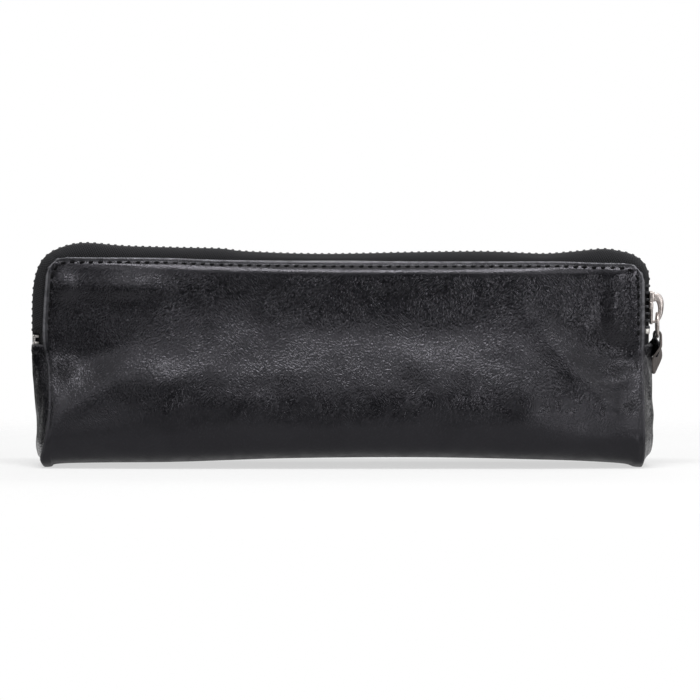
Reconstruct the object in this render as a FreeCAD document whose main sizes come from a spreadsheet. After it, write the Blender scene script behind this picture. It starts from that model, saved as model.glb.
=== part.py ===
"""Zip-top leather pen case: lengths in millimetres, X along the case, front towards -Y, Z up.

The origin is the middle of the base, on the surface that the case stands on.
"""
import FreeCAD, Part
import math
import os
import re
import Sketcher

from FreeCAD import Vector

DOC = FreeCAD.newDocument("PenCase")
SUBPARTS = []

# Driving sizes: name, value in millimetres, what it measures
SIZES = [
    ("case_length", 201.0, "leather, from end edge to end edge"),
    ("edge_height", 70.0, "top edge of the leather above the base"),
    ("edge_radius", 5.0, "rounding of the leather at its top corners"),
    ("fold_height", 40.0, "line where a wall folds open, level with the gusset hems"),
    ("fold_gap", 0.4, "clearance across the fold line"),
    ("leather_thickness", 1.4, "hide and gussets"),
    ("lining_thickness", 0.5, "cotton lining"),
    ("layer_gap", 0.3, "clearance between two layers of cloth or leather"),
    ("mouth_depth", 17.4, "front to back across the leather edges"),
    ("fold_depth", 34.4, "front to back at the fold line, at mid length"),
    ("foot_depth", 50.0, "front to back above the base round, at mid length"),
    ("end_fold_depth", 18.0, "front to back at the fold line, at the ends"),
    ("end_foot_depth", 44.0, "front to back above the base round, at the ends"),
    ("base_radius", 10.0, "round between base and walls"),
    ("base_trim", 0.2, "leather pressed flat where the base rests"),
    ("pinch_length", 40.0, "length over which the walls draw in towards each end"),
    ("wall_crown", 0.3, "outward bow of a wall above the fold line"),
    ("belly_crown", 2.0, "outward bow of a wall below the fold line"),
    ("end_crown", 0.4, "outward bow of the walls at the ends"),
    ("gusset_bulge_left", 4.6, "how far the left gusset stands out of its seams"),
    ("gusset_bulge_right", 3.4, "how far the right gusset stands out of its seams"),
    ("gusset_lift", 1.0, "underside of the gussets above the base"),
    ("zip_reach_left", 3.6, "middle of the zip chain beyond the left leather edge"),
    ("zip_reach_right", 1.6, "middle of the zip chain beyond the right leather edge"),
    ("zip_rise", 3.2, "middle of the zip chain above the leather edge"),
    ("chain_radius", 10.5, "bend of the zip chain at its corners"),
    ("tape_thickness", 0.7, "woven zip tape"),
    ("tape_tuck", 0.55, "leather that covers the tape before its bend"),
    ("tape_margin", 3.5, "flat margin of the tape behind the leather"),
    ("margin_radius", 1.0, "inner corners of that margin"),
    ("tape_lift", 0.6, "ends of the tape above the fold line"),
    ("tooth_pitch", 2.33, "spacing of the teeth in one row"),
    ("tooth_length", 1.2, "one tooth along the chain"),
    ("tooth_width", 2.45, "one tooth from its tape to its nose"),
    ("tooth_thickness", 2.4, "one tooth across the chain"),
    ("nose_thickness", 1.4, "nose of a tooth across the chain"),
    ("nose_length", 0.85, "tapered nose of a tooth"),
    ("row_gap", 1.1, "clear space between the two rows"),
    ("stop_height", 4.2, "bottom stop along the chain"),
    ("stop_width", 5.2, "bottom stop across the two rows"),
    ("stop_thickness", 2.6, "bottom stop through the chain"),
    ("stop_notch", 1.2, "notch in the outer face of the bottom stop"),
    ("stop_bar", 0.9, "bars of the bottom stop around its notch"),
    ("end_clearance", 0.5, "gap between a row's last tooth and a stop"),
    ("top_stop_height", 2.4, "top stop along the chain"),
    ("top_stop_base", 4.2, "lower end of the top stops above the fold line"),
    ("slider_base", 1.0, "lower end of the slider above the top stops, zip closed"),
    ("slider_length", 11.0, "slider along the chain"),
    ("slider_width", 9.2, "outer plate of the slider"),
    ("inner_plate_width", 7.8, "inner plate of the slider"),
    ("plate_thickness", 1.1, "both plates of the slider"),
    ("plate_rounding", 2.0, "corners of the slider's plates"),
    ("slider_clearance", 0.35, "play of the chain in the slider"),
    ("web_thickness", 0.5, "post that joins the two plates between the rows"),
    ("web_length", 3.0, "that post along the chain"),
    ("crown_width", 2.6, "crown of the slider across the chain"),
    ("crown_length", 10.0, "crown along the chain"),
    ("crown_reach", 3.7, "crown above the outer plate"),
    ("crown_bar", 1.4, "thickness of the crown's arch"),
    ("crown_foot", 2.0, "lower foot of the crown along the chain"),
    ("crown_head", 3.1, "upper foot of the crown along the chain"),
    ("crown_rounding", 2.2, "outer corners of the crown"),
    ("ring_diameter", 8.0, "pull ring, across the middle of its wire"),
    ("ring_wire", 1.0, "wire of the pull ring"),
    ("ring_play", 0.6, "gap between the ring's wire and the crown's lower foot"),
    ("ring_offset", 1.25, "middle of the ring's wire above the outer plate"),
    ("tab_leather", 1.0, "one ply of the pull tab"),
    ("tab_slot", 2.0, "inside width of the tab's loop"),
    ("tab_slot_drop", 1.5, "straight sides of that loop below the wire"),
    ("tab_neck", 3.0, "width of the tab where it loops over the ring"),
    ("tab_width", 7.0, "widest part of the tab"),
    ("tab_drop", 12.9, "tip of the tab below the ring's lower wire"),
    ("tab_point", 5.0, "length of the tab's pointed end"),
    ("tab_shoulder", 2.5, "length over which the neck widens"),
    ("stitch_inset", 1.9, "row of stitches inside the leather edge"),
    ("stitch_pitch", 3.1, "spacing of the stitches"),
    ("stitch_length", 1.5, "visible length of one stitch"),
    ("thread_diameter", 0.6, "sewing thread"),
    ("stitch_start", 4.0, "first and last stitch above the fold line"),
]

SHEET = DOC.addObject("Spreadsheet::Sheet", "Sizes")
for row, (alias, value, meaning) in enumerate(SIZES, start=1):
    SHEET.set(f"A{row}", meaning)
    SHEET.set(f"B{row}", str(value))
    SHEET.setAlias(f"B{row}", alias)
DOC.recompute()

ALIAS = re.compile(r"\b([a-z]+(?:_[a-z]+)+)\b")


def mm(alias):
    """Value of one size of the sheet."""
    return float(SHEET.get(alias))


def bind(item, prop, formula):
    """Tie a property to a formula written in the names of the sheet."""
    item.setExpression(prop, ALIAS.sub(r"Sizes.\1", formula))


def subpart(item, label):
    """Register a document object as one of the case's pieces."""
    item.Label = label
    SUBPARTS.append(item)
    return item


def shaped(label, shape):
    """Piece whose shape is worked out below from the sizes of the sheet."""
    item = DOC.addObject("Part::Feature", label)
    item.Shape = shape
    item.Placement = FreeCAD.Placement()
    return subpart(item, label)


def block(name, size, corner):
    """Box from formulas for its size and its lowest corner."""
    item = DOC.addObject("Part::Box", name)
    for prop, formula in zip(("Length", "Width", "Height"), size):
        bind(item, prop, formula)
    for axis, formula in zip("xyz", corner):
        bind(item, f"Placement.Base.{axis}", formula)
    return item


def fused(name, items):
    """Union of several document objects."""
    item = DOC.addObject("Part::MultiFuse", name)
    item.Shapes = items
    return item


def cut(name, base, tool):
    """One document object less another."""
    item = DOC.addObject("Part::Cut", name)
    item.Base = base
    item.Tool = tool
    return item


def rounded(name, base, radius, chosen):
    """Fillet on the edges of a base that a test picks out, with the radius tied to the sheet."""
    DOC.recompute()
    item = DOC.addObject("Part::Fillet", name)
    item.Base = base
    size = mm(radius)
    item.Edges = [(i, size, size) for i, edge in enumerate(base.Shape.Edges, start=1) if chosen(edge)]
    return item


# Values that several pieces share
HALF = mm("case_length") / 2
EDGE = mm("edge_height")
FOLD = mm("fold_height")
LEATHER = mm("leather_thickness")
LOWER_TOP = FOLD - mm("fold_gap") / 2
UPPER_BASE = FOLD + mm("fold_gap") / 2
LINING_INSET = LEATHER + mm("layer_gap")
CHAIN_LEFT = -HALF - mm("zip_reach_left")
CHAIN_RIGHT = HALF + mm("zip_reach_right")
CHAIN_TOP = EDGE + mm("zip_rise")
ROW_INNER = mm("row_gap") / 2
ROW_OUTER = ROW_INNER + mm("tooth_width")
STATIONS = (-HALF, mm("pinch_length") - HALF, 0.0, HALF - mm("pinch_length"), HALF)


def is_end(x):
    return abs(x) == HALF


def line(start, end):
    return Part.LineSegment(start, end).toShape()


def arc(start, middle, end):
    return Part.Arc(start, middle, end).toShape()


def bowed(start, end, crown):
    """Arc between two points of one section, bowed outwards along Y, or a line where there is no bow."""
    if crown == 0:
        return line(start, end)
    middle = (start + end) * 0.5
    side = math.copysign(1.0, start.y + end.y)
    return arc(start, middle + Vector(0, side * crown, 0), end)


# Hide and lining, lofted through sections across the case
def upper_section(x, side, inset, thickness, top, base):
    """Closed section of one wall above the fold line, at one station along the case."""
    fold = mm("end_fold_depth") if is_end(x) else mm("fold_depth")
    crown = mm("end_crown") if is_end(x) else mm("wall_crown")
    rows = []
    for depth in (inset, inset + thickness):
        head = Vector(x, side * (mm("mouth_depth") / 2 - depth), top)
        foot = Vector(x, side * (fold / 2 - depth), base)
        rows.append((head, foot))
    (head, foot), (inner_head, inner_foot) = rows
    return Part.Wire([bowed(head, foot, crown), line(foot, inner_foot),
                 bowed(inner_foot, inner_head, crown), line(inner_head, head)])


def lower_line(x, inset, floor):
    """Edges of one skin of the lower case, from the front fold line under the base to the back one."""
    fold = mm("end_fold_depth") if is_end(x) else mm("fold_depth")
    foot = mm("end_foot_depth") if is_end(x) else mm("foot_depth")
    crown = mm("end_crown") if is_end(x) else mm("belly_crown")
    radius = mm("base_radius")
    middle = radius - (radius - inset) * math.sqrt(0.5)
    centre = foot / 2 - radius
    points = {}
    for side in (-1, 1):
        points[side] = (Vector(x, side * (fold / 2 - inset), LOWER_TOP),
                        Vector(x, side * (foot / 2 - inset), radius),
                        Vector(x, side * (centre + radius - middle), middle),
                        Vector(x, side * centre, floor))
    front, back = points[-1], points[1]
    return [bowed(front[0], front[1], crown), arc(front[1], front[2], front[3]), line(front[3], back[3]),
            arc(back[3], back[2], back[1]), bowed(back[1], back[0], crown)]


def lower_section(x, inset, thickness):
    """Closed section of the lower case: base and both walls up to the fold lines."""
    outer = lower_line(x, inset, inset - mm("base_trim"))
    inner = lower_line(x, inset + thickness, inset + thickness)
    ends = [line(outer[-1].lastVertex().Point, inner[-1].lastVertex().Point),
            line(inner[0].firstVertex().Point, outer[0].firstVertex().Point)]
    return Part.Wire(Part.__sortEdges__(outer + [ends[0]] + inner + [ends[1]]))


def frame_edges(left, right, top, low_left, low_right, radius, y):
    """Open outline up one end, along the top and down the other end, with round corners."""
    slant = radius * (1 - math.sqrt(0.5))
    foot_left, foot_right = Vector(left, y, low_left), Vector(right, y, low_right)
    turn_left, top_left = Vector(left, y, top - radius), Vector(left + radius, y, top)
    top_right, turn_right = Vector(right - radius, y, top), Vector(right, y, top - radius)
    return [line(foot_left, turn_left),
            arc(turn_left, Vector(left + slant, y, top - slant), top_left),
            line(top_left, top_right),
            arc(top_right, Vector(right - slant, y, top - slant), turn_right),
            line(turn_right, foot_right)]


def backwards(edge):
    """The same line or arc, run from its end to its start."""
    start, end = edge.firstVertex().Point, edge.lastVertex().Point
    if edge.Curve.TypeId == "Part::GeomLine":
        return line(end, start)
    return arc(end, edge.valueAt(sum(edge.ParameterRange) / 2), start)


def closed_frame(outer, inner):
    """Closed wire between two such outlines."""
    right = line(outer[-1].lastVertex().Point, inner[-1].lastVertex().Point)
    left = line(inner[0].firstVertex().Point, outer[0].firstVertex().Point)
    return Part.Wire(outer + [right] + [backwards(edge) for edge in reversed(inner)] + [left])


def panel_prism(inset):
    """Space inside the leather's outline, through the whole depth of the case."""
    reach = mm("foot_depth")
    radius = max(mm("edge_radius") - inset, mm("margin_radius"))
    low = UPPER_BASE - mm("fold_gap")
    edges = frame_edges(inset - HALF, HALF - inset, EDGE - inset, low, low, radius, -reach)
    outline = Part.Wire(edges + [line(edges[-1].lastVertex().Point, edges[0].firstVertex().Point)])
    return Part.Face(outline).extrude(Vector(0, 2 * reach, 0))


def wall(side, inset, thickness, edge_inset):
    """One wall above the fold line, trimmed to the outline of the leather."""
    sections = [upper_section(x, side, inset, thickness, EDGE, UPPER_BASE) for x in STATIONS]
    return Part.makeLoft(sections, True, False).common(panel_prism(edge_inset)).Solids[0]


def lower_case(inset, thickness):
    """Base and lower walls, trimmed flat underneath."""
    loft = Part.makeLoft([lower_section(x, inset, thickness) for x in STATIONS], True, False)
    reach = 2 * mm("foot_depth")
    corner = Vector(-mm("case_length"), -reach / 2, inset)
    above = Part.makeBox(2 * mm("case_length"), reach, 2 * EDGE, corner)
    return loft.common(above).Solids[0]


lining = mm("lining_thickness")
lining_edge = mm("tape_tuck") + mm("tape_thickness") + mm("tape_margin") + mm("layer_gap")
shaped("hide_base", lower_case(0.0, LEATHER))
hide_front = shaped("hide_front", wall(-1, 0.0, LEATHER, 0.0))
hide_back = shaped("hide_back", wall(1, 0.0, LEATHER, 0.0))
shaped("lining_base", lower_case(LINING_INSET, lining))
shaped("lining_front", wall(-1, LINING_INSET, lining, lining_edge))
shaped("lining_back", wall(1, LINING_INSET, lining, lining_edge))


# Gussets: vaults that stand out of the ends of the lower case
def end_half_depth(z):
    """Half the depth of the case's end section at one height."""
    radius = mm("base_radius")
    foot, fold = mm("end_foot_depth") / 2, mm("end_fold_depth") / 2
    if z < radius:
        return foot - radius + math.sqrt(radius ** 2 - (radius - z) ** 2)
    return foot + (fold - foot) * (z - radius) / (LOWER_TOP - radius)


def crescent(end, z, inset, thickness, bulge):
    """Section of a gusset across its height: two arcs that meet the plane of the hide's end."""
    arcs = []
    for depth in (inset, inset + thickness):
        half = end_half_depth(z) - depth
        crest = end * (HALF + bulge - depth)
        arcs.append((Vector(end * HALF, -half, z), Vector(crest, 0, z), Vector(end * HALF, half, z)))
    outer, inner = arcs
    return Part.Wire([arc(*outer), line(outer[2], inner[2]),
                      arc(inner[2], inner[1], inner[0]), line(inner[0], outer[0])])


def gusset(end, bulge, inset, thickness):
    """End wall of the lower case with its own floor."""
    low = mm("gusset_lift") + inset
    levels = (low, mm("base_radius"), (mm("base_radius") + LOWER_TOP) / 2, LOWER_TOP)
    vault = Part.makeLoft([crescent(end, z, inset, thickness, bulge) for z in levels], True, False)
    half = end_half_depth(low) - inset
    rim = [Vector(end * HALF, -half, low),
           Vector(end * (HALF + bulge - inset), 0, low),
           Vector(end * HALF, half, low)]
    floor = Part.Face(Part.Wire([arc(*rim), line(rim[2], rim[0])])).extrude(Vector(0, 0, thickness))
    return vault.fuse(floor).removeSplitter().Solids[0]


for end, word in ((-1, "left"), (1, "right")):
    bulge = mm(f"gusset_bulge_{word}")
    shaped(f"gusset_{word}", gusset(end, bulge, 0.0, LEATHER))
    shaped(f"lining_{word}", gusset(end, bulge, LINING_INSET, lining))


# Zip tapes: a flat margin behind the leather edge, then a strip that bends out to the chain
def tape(side):
    tuck, thick, margin = mm("tape_tuck"), mm("tape_thickness"), mm("tape_margin")
    low = FOLD + mm("tape_lift")
    outer_face = mm("mouth_depth") / 2 - LEATHER - mm("layer_gap")
    inner_face = outer_face - thick

    def leather_frame(inset, radius, y):
        return frame_edges(inset - HALF, HALF - inset, EDGE - inset, low, low, radius, y)

    def chain_frame(offset, y):
        return frame_edges(CHAIN_LEFT - offset, CHAIN_RIGHT + offset, CHAIN_TOP + offset, low, low,
                           mm("chain_radius") + offset, y)

    radius = mm("edge_radius") - tuck
    near = side * inner_face
    margin_rim = closed_frame(leather_frame(tuck, radius, near),
                              leather_frame(tuck + thick + margin, mm("margin_radius"), near))
    flat = Part.Face(margin_rim).extrude(Vector(0, side * thick, 0))
    strip = Part.makeLoft([closed_frame(leather_frame(tuck, radius, near),
                                        leather_frame(tuck + thick, radius - thick, near)),
                           closed_frame(chain_frame(thick / 2, side * ROW_OUTER),
                                        chain_frame(-thick / 2, side * ROW_OUTER))], True, True)
    return flat.fuse(strip).removeSplitter().Solids[0]


shaped("tape_front", tape(-1))
shaped("tape_back", tape(1))


# Things that repeat along an outline: teeth and stitches
def stations_along(edges, pitch, first):
    """Points and tangents along a chain of edges, one pitch apart, clear of both ends by half a pitch."""
    spots = []
    distance = first
    for edge in edges:
        while distance <= edge.Length:
            at = edge.getParameterByLength(distance)
            spots.append((edge.valueAt(at), edge.tangentAt(at)))
            distance += pitch
        distance -= edge.Length
    return spots


def turned(shape, point, tangent, y):
    """Copy of a shape whose X runs along the tangent and whose Y stays across the case."""
    copy = shape.copy()
    turn = FreeCAD.Rotation(tangent, Vector(0, 1, 0), tangent.cross(Vector(0, 1, 0)), "XYZ")
    copy.Placement = FreeCAD.Placement(Vector(point.x, y, point.z), turn)
    return copy


def one_tooth(side):
    """Tooth with a tapered nose, square to its tape."""
    half, nose = mm("tooth_thickness") / 2, mm("nose_thickness") / 2
    start = -mm("tooth_length") / 2
    shoulder = ROW_INNER + mm("nose_length")
    outline = [(ROW_OUTER, -half), (ROW_OUTER, half), (shoulder, half),
               (ROW_INNER, nose), (ROW_INNER, -nose), (shoulder, -half)]
    corners = [Vector(start, side * y, z) for y, z in outline]
    return Part.Face(Part.makePolygon(corners + corners[:1])).extrude(Vector(mm("tooth_length"), 0, 0))


def teeth(side, shift):
    """One row of teeth from the bottom stop round to the top stop."""
    low_left = LOWER_TOP + mm("stop_height") + mm("end_clearance")
    low_right = FOLD + mm("top_stop_base") + mm("top_stop_height") + mm("end_clearance")
    path = frame_edges(CHAIN_LEFT, CHAIN_RIGHT, CHAIN_TOP, low_left, low_right, mm("chain_radius"), 0.0)
    spots = stations_along(path, mm("tooth_pitch"), mm("tooth_length") / 2 + shift)
    last = Vector(CHAIN_RIGHT, 0, low_right + mm("tooth_length") / 2)
    tooth = one_tooth(side)
    return Part.makeCompound([turned(tooth, point, tangent, 0.0) for point, tangent in spots
                              if point.z > last.z or point.x < 0])


def stitches(side, hide):
    """Row of stitches along the edge of one wall, each half sunk in the leather."""
    inset = mm("stitch_inset")
    low = FOLD + mm("stitch_start")
    path = frame_edges(inset - HALF, HALF - inset, EDGE - inset, low, low, mm("edge_radius") - inset, 0.0)
    stitch = Part.makeCylinder(mm("thread_diameter") / 2, mm("stitch_length"),
                               Vector(-mm("stitch_length") / 2, 0, 0), Vector(1, 0, 0))
    row = []
    for point, tangent in stations_along(path, mm("stitch_pitch"), mm("stitch_pitch") / 2):
        probe = line(Vector(point.x, side * mm("foot_depth"), point.z), Vector(point.x, 0, point.z))
        surface = max(abs(vertex.Y) for vertex in probe.common(hide.Shape).Vertexes)
        row.append(turned(stitch, point, tangent, side * surface))
    return Part.makeCompound(row)


shaped("teeth_front", teeth(-1, 0.0))
shaped("teeth_back", teeth(1, mm("tooth_pitch") / 2))
shaped("stitches_front", stitches(-1, hide_front))
shaped("stitches_back", stitches(1, hide_back))

# Stops at the two ends of the chain
chain_left = "(-case_length / 2 - zip_reach_left)"
chain_right = "(case_length / 2 + zip_reach_right)"
stop_base = "(fold_height - fold_gap / 2)"
top_stop_low = "(fold_height + top_stop_base)"
stop_block = block("BottomStopBlock", ("stop_thickness", "stop_width", "stop_height"),
                   (f"{chain_left} - stop_thickness / 2", "-stop_width / 2", stop_base))
stop_recess = block("BottomStopRecess",
                    ("stop_notch", "stop_width - 2 * stop_bar", "stop_height - 2 * stop_bar"),
                    (f"{chain_left} - stop_thickness / 2",
                     "-stop_width / 2 + stop_bar",
                     f"{stop_base} + stop_bar"))
subpart(cut("BottomStop", stop_block, stop_recess), "bottom_stop")
for word, low_y in (("front", "-row_gap / 2 - tooth_width"), ("back", "row_gap / 2")):
    top_stop = block(f"TopStop{word}", ("tooth_thickness", "tooth_width", "top_stop_height"),
                     (f"{chain_right} - tooth_thickness / 2", low_y, top_stop_low))
    subpart(top_stop, f"top_stop_{word}")

# Slider: two plates on either side of the chain, joined by a thin post between the rows
channel = "(tooth_thickness / 2 + slider_clearance)"
plate_face = f"({chain_right} + {channel} + plate_thickness)"
slider_low = f"({top_stop_low} + top_stop_height + slider_base)"
outer_plate = block("OuterPlate", ("plate_thickness", "slider_width", "slider_length"),
                    (f"{chain_right} + {channel}", "-slider_width / 2", slider_low))
inner_plate = block("InnerPlate", ("plate_thickness", "inner_plate_width", "slider_length"),
                    (f"{chain_right} - {channel} - plate_thickness", "-inner_plate_width / 2", slider_low))


def along_x(edge):
    """True of the edges that run through a plate, which are its corners."""
    ends = edge.firstVertex().Point - edge.lastVertex().Point
    return abs(ends.y) + abs(ends.z) < 1e-6


plates = [rounded(f"{plate.Name}Rounded", plate, "plate_rounding", along_x)
          for plate in (outer_plate, inner_plate)]
post = block("SliderPost", (f"2 * {channel}", "web_thickness", "web_length"),
             (f"{chain_right} - {channel}", "-web_thickness / 2", f"{slider_low} + plate_rounding"))
subpart(fused("SliderBody", plates + [post]), "slider_body")

# Crown: an arch on the outer plate with a see-through eye for the ring
crown_base = f"({slider_low} + (slider_length - crown_length) / 2)"
crown_block = block("CrownBlock", ("crown_reach", "crown_width", "crown_length"),
                    (plate_face, "-crown_width / 2", crown_base))
crown_front = CHAIN_RIGHT + sum(mm(alias) for alias in ("slider_clearance", "plate_thickness", "crown_reach"))
crown_front += mm("tooth_thickness") / 2


def outer_corner(edge):
    """True of the two edges across the crown that lie furthest from the plate."""
    ends = edge.firstVertex().Point - edge.lastVertex().Point
    return abs(ends.x) + abs(ends.z) < 1e-6 and abs(edge.CenterOfMass.x - crown_front) < 1e-6


crown_rounded = rounded("CrownRounded", crown_block, "crown_rounding", outer_corner)
crown_eye = block("CrownEye",
                  ("crown_reach - crown_bar", "crown_width", "crown_length - crown_foot - crown_head"),
                  (plate_face, "-crown_width / 2", f"{crown_base} + crown_foot"))
subpart(cut("Crown", crown_rounded, crown_eye), "slider_crown")

# Pull ring, hung in the crown's eye across the chain
ring_x = f"({plate_face} + ring_offset)"
ring_top = f"({crown_base} + crown_foot + ring_play + ring_wire / 2)"
ring = DOC.addObject("Part::Torus", "PullRing")
bind(ring, "Radius1", "ring_diameter / 2")
bind(ring, "Radius2", "ring_wire / 2")
bind(ring, "Placement.Base.x", ring_x)
bind(ring, "Placement.Base.z", f"{ring_top} - ring_diameter / 2")
ring.Placement.Rotation = FreeCAD.Rotation(Vector(0, 1, 0), 90)
subpart(ring, "pull_ring")

# Pull tab: a strap looped over the ring's lower wire, its two plies laid together below the loop
wire_z = f"({ring_top} - ring_diameter)"
loop_radius = "(tab_slot / 2 + tab_leather)"
tab_face = DOC.addObject("PartDesign::Body", "TabFace")
for axis, formula in (("x", ring_x), ("z", wire_z)):
    bind(tab_face, f"Placement.Base.{axis}", formula)
face_sketch = tab_face.newObject("Sketcher::SketchObject", "TabOutline")
side_plane = next(plane for plane in tab_face.Origin.OriginFeatures if plane.Role == "YZ_Plane")
face_sketch.AttachmentSupport = (side_plane, "")
face_sketch.MapMode = "FlatFace"
half_outline = [("tab_neck / 2", loop_radius), ("tab_neck / 2", "-tab_slot_drop"),
                ("tab_width / 2", "-tab_slot_drop - tab_shoulder"), ("tab_width / 2", "tab_point - tab_drop")]
tab_corners = half_outline + [("0", "-tab_drop")] + [(f"-({u})", v) for u, v in reversed(half_outline)]
for i in range(len(tab_corners)):
    face_sketch.addGeometry(Part.LineSegment(Vector(i, 0, 0), Vector(i, 1, 0)), False)
for i, (u, v) in enumerate(tab_corners):
    face_sketch.addConstraint(Sketcher.Constraint("Coincident", i, 2, (i + 1) % len(tab_corners), 1))
    for kind, formula in (("DistanceX", u), ("DistanceY", v)):
        index = face_sketch.addConstraint(Sketcher.Constraint(kind, -1, 1, i, 1, 1.0))
        bind(face_sketch, f"Constraints[{index}]", formula)
tab_pad = tab_face.newObject("PartDesign::Pad", "TabPad")
tab_pad.Profile = face_sketch
tab_pad.Midplane = True
bind(tab_pad, "Length", f"2 * {loop_radius}")


def tab_roller(name, radius):
    """Cylinder round the ring's lower wire, across the whole tab."""
    item = DOC.addObject("Part::Cylinder", name)
    bind(item, "Radius", radius)
    bind(item, "Height", "tab_width")
    for axis, formula in (("x", ring_x), ("y", "tab_width / 2"), ("z", wire_z)):
        bind(item, f"Placement.Base.{axis}", formula)
    item.Placement.Rotation = FreeCAD.Rotation(Vector(1, 0, 0), 90)
    return item


def tab_slab(name, thickness, low, high):
    """Slab centred on the ring's plane, across the whole tab, between two depths below the wire."""
    return block(name, (thickness, "tab_width", f"({low}) - ({high})"),
                 (f"{ring_x} - ({thickness}) / 2", "-tab_width / 2", f"{wire_z} - ({low})"))


tab_side = fused("TabSide", [
    tab_roller("TabLoop", loop_radius),
    tab_slab("TabLegs", f"2 * {loop_radius}", "tab_slot_drop + tab_leather", "0"),
    tab_slab("TabPlies", "2 * tab_leather", "tab_drop", "tab_slot_drop")])
tab_hole = fused("TabHole", [
    tab_roller("TabSlotTop", "tab_slot / 2"), tab_slab("TabSlotLegs", "tab_slot", "tab_slot_drop", "0")])
tab_solid = DOC.addObject("Part::MultiCommon", "TabSolid")
tab_solid.Shapes = [tab_face, tab_side]
subpart(cut("PullTab", tab_solid, tab_hole), "pull_tab")

# Check every object, then write one file for each piece
DOC.recompute()
for item in DOC.Objects:
    if {"Invalid", "Error"} & set(item.State):
        raise RuntimeError(f"{item.Name} failed: {item.State}")
for item in SUBPARTS:
    if item.Shape.isNull() or not item.Shape.isValid():
        raise RuntimeError(f"{item.Label} has no valid shape")
os.makedirs("parts", exist_ok=True)
for item in SUBPARTS:
    item.Shape.exportStep(f"parts/{item.Label}.step")
    print(f"{item.Label}: {len(item.Shape.Solids)} solids, {item.Shape.Volume:.1f} mm3")
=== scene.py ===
"""Looks of the pen case: leather shell, gussets, lining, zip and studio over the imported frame."""
import math

import bmesh
import bpy
import numpy as np
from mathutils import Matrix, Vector, noise


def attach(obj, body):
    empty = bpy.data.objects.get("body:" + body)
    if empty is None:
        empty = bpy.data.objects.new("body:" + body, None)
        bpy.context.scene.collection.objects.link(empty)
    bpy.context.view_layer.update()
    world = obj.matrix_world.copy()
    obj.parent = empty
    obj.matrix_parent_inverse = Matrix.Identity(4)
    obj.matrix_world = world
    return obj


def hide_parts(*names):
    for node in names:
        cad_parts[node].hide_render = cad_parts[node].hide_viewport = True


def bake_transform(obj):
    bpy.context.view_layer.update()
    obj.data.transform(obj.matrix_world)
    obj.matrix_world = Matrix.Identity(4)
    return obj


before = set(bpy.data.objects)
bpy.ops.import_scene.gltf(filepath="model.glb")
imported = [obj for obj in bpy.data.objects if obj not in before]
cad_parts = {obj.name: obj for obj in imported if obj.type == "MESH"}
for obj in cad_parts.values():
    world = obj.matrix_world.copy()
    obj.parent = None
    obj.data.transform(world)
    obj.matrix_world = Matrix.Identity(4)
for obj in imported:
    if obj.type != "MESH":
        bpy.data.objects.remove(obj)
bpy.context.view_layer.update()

# Sizes and places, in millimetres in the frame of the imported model

METRES = 0.001
LEATHER = 1.3
LINING_OFFSET = 1.9
LINING = 0.45
EDGE_HEIGHT = 70.0
CORNER_RADIUS = 6.5
PINCH_FROM = 58.0
PINCH_TO = 100.5
GUSSET_TOP = 40.4

# Half sections of the hide, as depth and height from the middle of the base to the top edge
MID_SECTION = [(0, 0), (9, 0), (16, 0.3), (22.2, 3.2), (24.6, 10), (24.8, 17), (23.8, 24), (21.6, 30.5),
               (18.6, 37), (15.6, 44), (13.8, 50), (12.5, 56), (11.4, 62), (10.5, 66), (9.4, 68.7), (8.7, 70)]
END_SECTION = [(0, 0), (8, 0), (13, 0.3), (18.4, 2.4), (21.2, 7), (21.6, 11), (19.4, 17.5), (15.2, 26.5),
               (11.4, 34), (9.4, 40), (9.2, 52), (9.0, 62), (8.8, 68.5), (8.7, 70)]

# Ends of the hide, as height and place along the case
LEFT_EDGE = [(0, -100.2), (2.3, -100.9), (5.9, -100.0), (12, -98.9), (18.8, -98.4), (25.9, -98.5),
             (33.6, -99.0), (43.1, -100.6), (54.9, -100.2), (63.4, -99.6), (71, -99.2)]
RIGHT_EDGE = [(0, 99.8), (5, 100.3), (20, 100.4), (38, 100.4), (44, 100.7), (64, 100.7), (71, 100.5)]
LEFT_GUSSET = [(0, -101.4), (2.7, -102.1), (3.9, -103.1), (7.6, -103.9), (14.4, -103.3), (20.1, -103.9),
               (27.9, -104.6), (36.3, -105.0), (41, -105.0)]
RIGHT_GUSSET = [(0, 101.0), (2.7, 101.9), (4.9, 103.6), (9, 104.2), (20, 104.2), (41, 104.2)]

# Top edge and lower front edge, as place along the case and height
TOP_LINE = [(-105, 70.4), (-75, 70.3), (-57, 70.1), (-41, 69.5), (-8, 69.0), (26, 68.9), (69, 69.0),
            (86, 68.5), (105, 68.3)]
BASE_LINE = [(-105, 0), (-98.5, 0), (-93, 1.2), (-55, 1.9), (-18, 3.1), (26, 3.4), (66, 2.6), (92, 1.3),
             (98, 0), (105, 0)]

# Swell of the leather under the top seam, as place along the case and height outwards
TOP_PUFF = [(-105, 0.4), (-95, 0.4), (-76, 0.45), (-62, 0.6), (-45, 0.85), (-30, 1.1), (0, 1.2), (45, 1.2),
            (62, 0.95), (80, 0.6), (93, 0.4), (105, 0.4)]

# Middle of the zip's teeth, as place along the case and height
CHAIN_LINE = [(-104.1, 41), (-104.1, 48.5), (-104.0, 55.6), (-103.5, 61.3), (-102.3, 66), (-100.2, 69.6),
              (-96.5, 72.1), (-90.8, 73.9), (-85, 74.2), (-73.5, 73.2), (-57.6, 72.7), (-41.7, 72.3),
              (-32, 71.3), (-7.3, 70.5), (26, 71.1), (47.5, 71.3), (62.4, 70.7), (69.1, 70.6), (77.6, 71.3),
              (87.5, 72.2), (93.5, 71.4), (96.5, 70.6), (98.8, 69.4), (100.7, 67.6), (101.9, 65), (102.2, 62),
              (102.2, 56), (102.2, 41)]

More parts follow.
